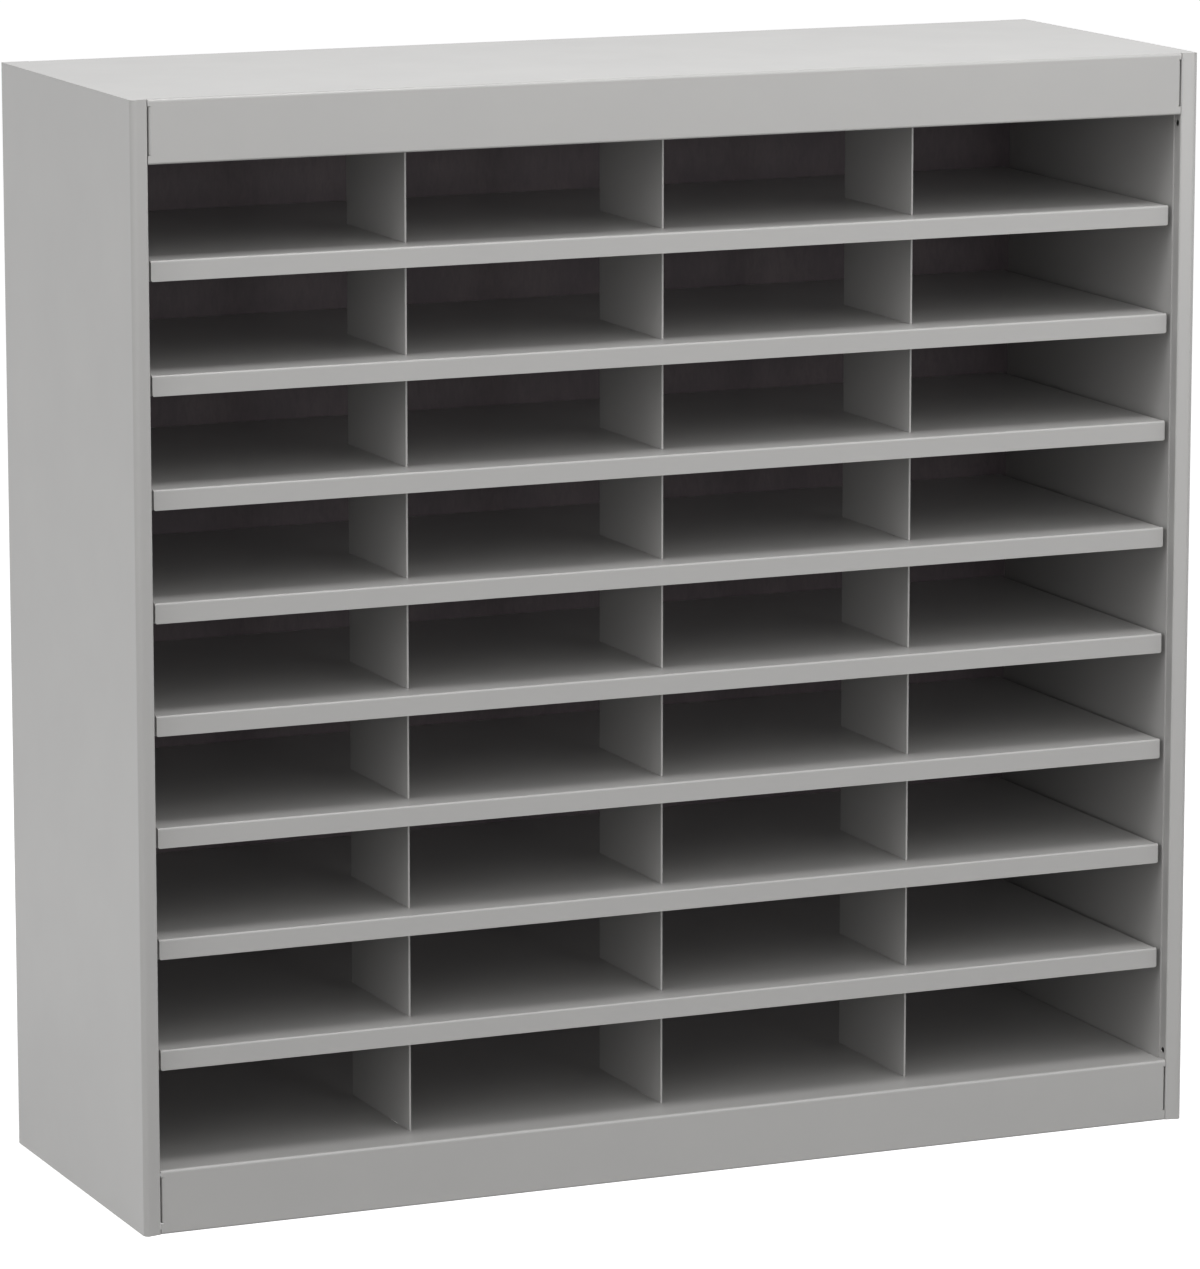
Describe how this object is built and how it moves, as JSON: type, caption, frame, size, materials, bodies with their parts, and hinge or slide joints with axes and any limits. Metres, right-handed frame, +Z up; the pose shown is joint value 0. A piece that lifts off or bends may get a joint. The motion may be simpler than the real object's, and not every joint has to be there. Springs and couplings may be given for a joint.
{
  "type": "pigeonhole mail sorter",
  "caption": "Free-standing cabinet of folded grey steel sheet, its front divided by shelves and short upright dividers into open pigeonholes for sorting mail.",
  "frame": {"origin": "middle of the footprint at floor level: halfway between the outer sides, and halfway between the posts' front corners and the screw heads at the back", "axes": "+X to the right as seen from the open front, +Y from the front to the back, +Z up"},
  "size_m": [0.9524, 0.326, 0.9271],
  "materials": {
    "cabinet_paint": "light grey powder coat, fine texture, low gloss",
    "shelf_paint": "light grey powder coat, fine texture, low gloss",
    "divider_paint": "light grey powder coat, fine texture, low gloss",
    "back_board": "dark faced hardboard, smooth, matt",
    "zinc": "bright zinc plate on steel"
  },
  "bodies": {
    "root": {"side_skin_left": "cabinet_paint", "side_skin_right": "cabinet_paint", "side_liner_left": "cabinet_paint", "side_liner_right": "cabinet_paint", "side_stiffener_left": "cabinet_paint", "side_stiffener_right": "cabinet_paint", "top_panel": "cabinet_paint", "top_stiffener": "cabinet_paint", "ceiling_panel": "cabinet_paint", "base_panel": "cabinet_paint", "base_rear_rail": "cabinet_paint", "back_board": "back_board", "shelf_1": "shelf_paint", "shelf_2": "shelf_paint", "shelf_3": "shelf_paint", "shelf_4": "shelf_paint", "shelf_5": "shelf_paint", "shelf_6": "shelf_paint", "shelf_7": "shelf_paint", "shelf_8": "shelf_paint", "divider_r1_c1": "divider_paint", "divider_r1_c2": "divider_paint", "divider_r1_c3": "divider_paint", "divider_r2_c1": "divider_paint", "divider_r2_c2": "divider_paint", "divider_r2_c3": "divider_paint", "divider_r3_c1": "divider_paint", "divider_r3_c2": "divider_paint", "divider_r3_c3": "divider_paint", "divider_r4_c1": "divider_paint", "divider_r4_c2": "divider_paint", "divider_r4_c3": "divider_paint", "divider_r5_c1": "divider_paint", "divider_r5_c2": "divider_paint", "divider_r5_c3": "divider_paint", "divider_r6_c1": "divider_paint", "divider_r6_c2": "divider_paint", "divider_r6_c3": "divider_paint", "divider_r7_c1": "divider_paint", "divider_r7_c2": "divider_paint", "divider_r7_c3": "divider_paint", "divider_r8_c1": "divider_paint", "divider_r8_c2": "divider_paint", "divider_r8_c3": "divider_paint", "divider_r9_c1": "divider_paint", "divider_r9_c2": "divider_paint", "divider_r9_c3": "divider_paint", "shelf_clips_left": "zinc", "shelf_clips_right": "zinc", "back_screws": "zinc"}
  },
  "joints": []
}
